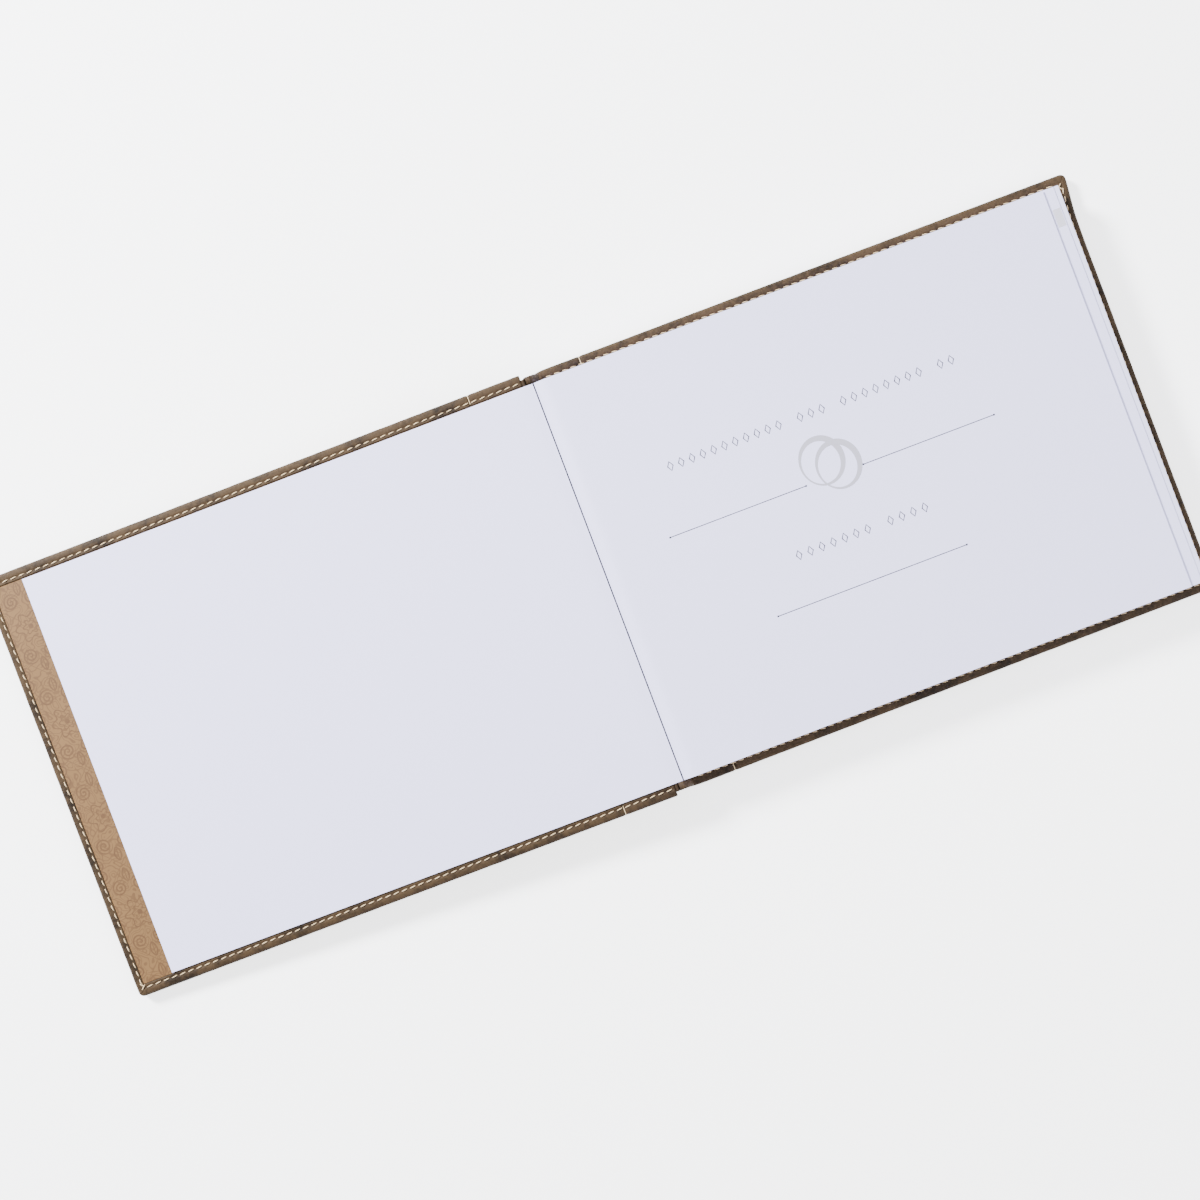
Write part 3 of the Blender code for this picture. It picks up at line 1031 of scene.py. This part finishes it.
def extruded_skin(name, profile, half, seed, short_head=0.0):
    """Leather with its profile in (x, z) carried along y, a little uneven and short at the head."""
    bm = bmesh.new()
    rows = []
    middle_x = sum(x for x, z in profile) / len(profile)
    middle_z = sum(z for x, z in profile) / len(profile)
    for v in steps(-half, half, 1.5 * MM):
        row = []
        for x, z in profile:
            shift = 0.05 * MM * noise.noise(Vector((x * 120 + seed, v * 120, z * 120)))
            side = 1 if x > middle_x else -1
            rise = 1 if z > middle_z else -1
            back = short_head if v > 0 else 0.0
            y = v * (1 - back / half)
            row.append(bm.verts.new((x - side * abs(shift), y, z - rise * abs(shift) * 0.4)))
        rows.append(row)
    close_body(bm, rows)
    obj = finish_mesh(name, bm, BAND)
    mark_sharp(obj)
    return obj


def arc(cx, cz, radius, start, end, count=9):
    """Points on an arc, both ends included."""
    turns = [start + (end - start) * i / count for i in range(count + 1)]
    return [(cx + radius * cos(a), cz + radius * sin(a)) for a in turns]


def spine_skin():
    """Leather on the spine board, rounded round its head and tail."""
    low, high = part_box("spine_leather")
    wall = 0.6 * MM
    radius = 0.55 * MM
    half = high.y
    flap = half - SPINE_FLAP
    outer = [(high.x, -flap), (high.x, -half + radius)]
    outer += arc(high.x - radius, -half + radius, radius, 0, -pi / 2)
    outer += arc(low.x + radius, -half + radius, radius, -pi / 2, -pi)
    outer += [(low.x, v) for v in steps(-half + 4 * MM, half - 4 * MM, 6 * MM)]
    outer += arc(low.x + radius, half - radius, radius, pi, pi / 2)
    outer += arc(high.x - radius, half - radius, radius, pi / 2, 0)
    outer += [(high.x, flap)]
    inner_high = high.x - 0.5 * MM
    inner = [(inner_high, flap), (inner_high, half - wall), (low.x + wall, half - wall)]
    inner += [(low.x + wall, -half + wall), (inner_high, -half + wall), (inner_high, -flap)]
    bm = bmesh.new()
    rows = []
    for z in steps(low.z, high.z, 0.8 * MM):
        row = []
        for x, v in outer:
            shift = 0.06 * MM * abs(noise.noise(Vector((v * 150, z * 150, 2.0)))) if x == low.x else 0
            row.append(bm.verts.new((x + shift, v, z)))
        row += [bm.verts.new((x, v, z)) for x, v in inner]
        rows.append(row)
    close_body(bm, rows)
    obj = finish_mesh("spine_skin", bm, BAND)
    mark_sharp(obj)
    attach(obj, "back_case")
    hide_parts("spine_leather")


def spine_cap(end):
    """Gathered leather over the spine board's corner, drawn down on to the back cover."""
    low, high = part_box("spine_leather")
    board_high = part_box("spine_board")[1]
    reach = high.y + 0.08 * MM
    bm = bmesh.new()
    rows = []
    x0, ear, x1 = low.x + 0.75 * MM, high.x, high.x + 4.2 * MM
    for i in range(29):
        t = i / 28
        x = x0 + (x1 - x0) * t
        fall = max(0.0, (x - ear) / (x1 - ear))
        pleat = 0.12 * MM * noise.noise(Vector((t * 9, end * 3.0, 0.5)))
        swell = 0.75 * MM * sin(pi * min(1.0, 0.12 + 0.9 * t))
        y0, y1 = PAGE_HALF + 0.1 * MM, reach + 0.6 * MM * fall + pleat * 0.5
        y1 = min(y1, COVER_HALF - 0.4 * MM)
        z0 = board_high.z + 0.05 * MM - (board_high.z - COVER_T - 2.0 * MM) * fall**1.5
        z1 = z0 + 0.25 * MM + swell + pleat
        path = [(y0, z0), (y1, z0 - 1.4 * MM), (y1 + 0.04 * MM, z0 - 0.6 * MM)]
        path += [(y1 - 0.15 * MM, z1 - 0.3 * MM), (y1 - 0.6 * MM, z1), (y0, z1 - 0.1 * MM)]
        rows.append([bm.verts.new((x, end * y, z)) for y, z in path])
    close_body(bm, rows)
    obj = finish_mesh("spine_cap_head" if end > 0 else "spine_cap_tail", bm, BAND)
    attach(obj, "back_case")


def back_joint_skin():
    """Leather bent under from the foot of the spine to the back cover."""
    low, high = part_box("back_joint_strip")
    wall = 0.6 * MM
    bend = 1.2 * MM
    profile = [(low.x, z) for z in steps(high.z, bend, 0.5 * MM)]
    profile += arc(low.x + bend, bend, bend, pi, 1.5 * pi)[1:]
    profile += [(high.x, 0.0), (high.x, wall)]
    profile += arc(low.x + bend, bend, bend - wall, 1.5 * pi, pi)
    profile += [(low.x + wall, high.z)]
    obj = extruded_skin("back_joint_skin", profile, high.y, 3.0)
    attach(obj, "back_case")
    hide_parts("back_joint_strip")


def front_joint_skin():
    """Joint leather folded over the spine's top edge."""
    low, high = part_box("front_joint_strip")
    low.x -= 0.36 * MM
    wall = 0.52 * MM
    radius = (high.x - low.x) / 2
    centre_x = (high.x + low.x) / 2
    centre_z = high.z - radius
    profile = [(high.x, JOINT_START_Z)]
    profile += arc(centre_x, centre_z, radius, 0, pi, 40)
    profile += [(low.x, z) for z in steps(centre_z, low.z, 0.6 * MM)[1:]]
    profile += [(low.x + wall, z) for z in steps(low.z, centre_z, 0.6 * MM)]
    profile += arc(centre_x, centre_z, radius - wall, pi, 0, 24)
    profile += [(high.x - wall, JOINT_START_Z)]
    obj = extruded_skin("front_joint_skin", profile, high.y, 9.0, 0.5 * MM)
    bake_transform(obj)
    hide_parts("front_joint_strip")


# ---- assembly --------------------------------------------------------------------------


def pastedown_sheet(side, body):
    """Printed endpaper glued down between the turn-ins, faintly uneven."""
    bm = bmesh.new()
    far = COVER_W - OUTER_TURN_IN - 0.06 * MM
    half = COVER_HALF - TURN_IN - 0.06 * MM
    low, top, bevel = COVER_T - 0.70 * MM, COVER_T - 0.16 * MM, 0.12 * MM
    near = 0.6 * MM
    sides = [(v, 0.0 if abs(v) < half - bevel else bevel) for v in steps(-half, half, 6 * MM)]
    rows = []
    for u in steps(near, far, 8 * MM):
        drop = bevel if u > far - bevel or u < near + bevel else 0.0
        row = [bm.verts.new((u, -half, low))]
        for v, edge_drop in sides:
            wave = 0.04 * MM * noise.noise(Vector((u * 60, v * 60, 5.0)))
            row.append(bm.verts.new((u, v, top + wave - max(drop, edge_drop))))
        row.append(bm.verts.new((u, half, low)))
        rows.append(row)
    close_body(bm, rows)
    stand_out(bm, side)
    bmesh.ops.transform(bm, matrix=to_cover(side), verts=bm.verts)
    obj = finish_mesh(f"{side}_pastedown_sheet", bm, ENDPAPER)
    mark_sharp(obj)
    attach(obj, body)
    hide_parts(f"{side}_pastedown")


def dress_node(node, material):
    """Give a carried-over CAD node its finished material."""
    slots = frame["nodes"][node].data.materials
    slots.clear()
    slots.append(material)


def dress_cover(side, body):
    """Everything that belongs to one cover."""
    skin = cover_skin(side)
    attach(skin, body)
    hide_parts(f"{side}_cover_leather")
    band = band_skin(side)
    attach(band, body)
    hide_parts(f"{side}_cover_band")
    edge = edge_stitches(side)
    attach(edge, body)
    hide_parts(f"{side}_edge_stitching")
    seam = band_stitches(side)
    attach(seam, body)
    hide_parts(f"{side}_band_stitching")
    dress_node(f"{side}_cover_padding", FOAM)
    dress_node(f"{side}_cover_board", GREYBOARD)
    pastedown_sheet(side, body)


def dress_inside():
    """The block's sections and what holds them together."""
    for index in range(SECTIONS):
        section_pages(index)
    for index in range(STATIONS):
        dress_node(f"sewing_thread_{index + 1}", LINEN)
    dress_node("mull", MULL)
    dress_node("spine_liner", KRAFT)
    dress_node("spine_board", GREYBOARD)


def make_floor():
    bpy.ops.mesh.primitive_plane_add(size=12, location=(0, 0, -0.0003))
    floor = bpy.context.object
    floor.name = "floor"
    floor.data.materials.append(floor_look())


def area_light(name, place, size, watts, colour):
    """Square lamp aimed at the origin."""
    data = bpy.data.lights.new(name, "AREA")
    data.size = size
    data.energy = watts
    data.color = colour
    lamp = bpy.data.objects.new(name, data)
    lamp.location = place
    lamp.rotation_euler = (-Vector(place)).to_track_quat("-Z", "Y").to_euler()
    bpy.context.scene.collection.objects.link(lamp)


def make_light():
    """Cool soft world, a small key lamp at the upper left and a broad fill at the right."""
    world = bpy.data.worlds.new("studio")
    world.use_nodes = True
    background = world.node_tree.nodes["Background"]
    background.inputs["Color"].default_value = WORLD_COLOUR
    background.inputs["Strength"].default_value = WORLD_STRENGTH
    seen = world.node_tree.nodes.new("ShaderNodeBackground")
    seen.inputs["Strength"].default_value = BACKDROP_STRENGTH
    path = world.node_tree.nodes.new("ShaderNodeLightPath")
    choice = world.node_tree.nodes.new("ShaderNodeMixShader")
    links = world.node_tree.links
    links.new(path.outputs["Is Camera Ray"], choice.inputs[0])
    links.new(background.outputs[0], choice.inputs[1])
    links.new(seen.outputs[0], choice.inputs[2])
    links.new(choice.outputs[0], world.node_tree.nodes["World Output"].inputs["Surface"])
    bpy.context.scene.world = world
    area_light("key", *KEY)
    area_light("fill", *FILL)


CAMERA_HEIGHT = 785.8 * MM
CAMERA_AIM = Vector((-5.37 * MM, -5.65 * MM, 0))  # from the gutter
BOOK_TURN = radians(20.8)
CAMERA_TILT = radians(1.09)
LENS_OVER_WIDTH = 1928.65 / 1200


def make_camera():
    """Almost straight above the book, which lies turned on the table."""
    data = bpy.data.cameras.new("camera")
    data.sensor_width = 36
    data.lens = 36 * LENS_OVER_WIDTH
    data.clip_start = 0.01
    data.clip_end = 20
    camera = bpy.data.objects.new("camera", data)
    turn = Matrix.Rotation(-BOOK_TURN, 4, "Z") @ Matrix.Rotation(-CAMERA_TILT, 4, "Y")
    aim = CAMERA_AIM + Vector((FOLD.x, 0, 0))
    camera.matrix_world = Matrix.Translation(aim) @ turn @ Matrix.Translation((0, 0, CAMERA_HEIGHT))
    bpy.context.scene.collection.objects.link(camera)
    bpy.context.scene.camera = camera


make_camera()
make_light()
make_floor()
dress_cover("back", "back_case")
dress_cover("front", "front_cover")
right_leaf("title_leaf", TITLE_HIGH.x, TITLE_HEIGHT)
right_leaf("guest_leaf", GUEST_HIGH.x, GUEST_HEIGHT)
front_flyleaf()
back_flyleaf()
dress_inside()
spine_skin()
spine_cap(1)
spine_cap(-1)
back_joint_skin()
front_joint_skin()
title_print()
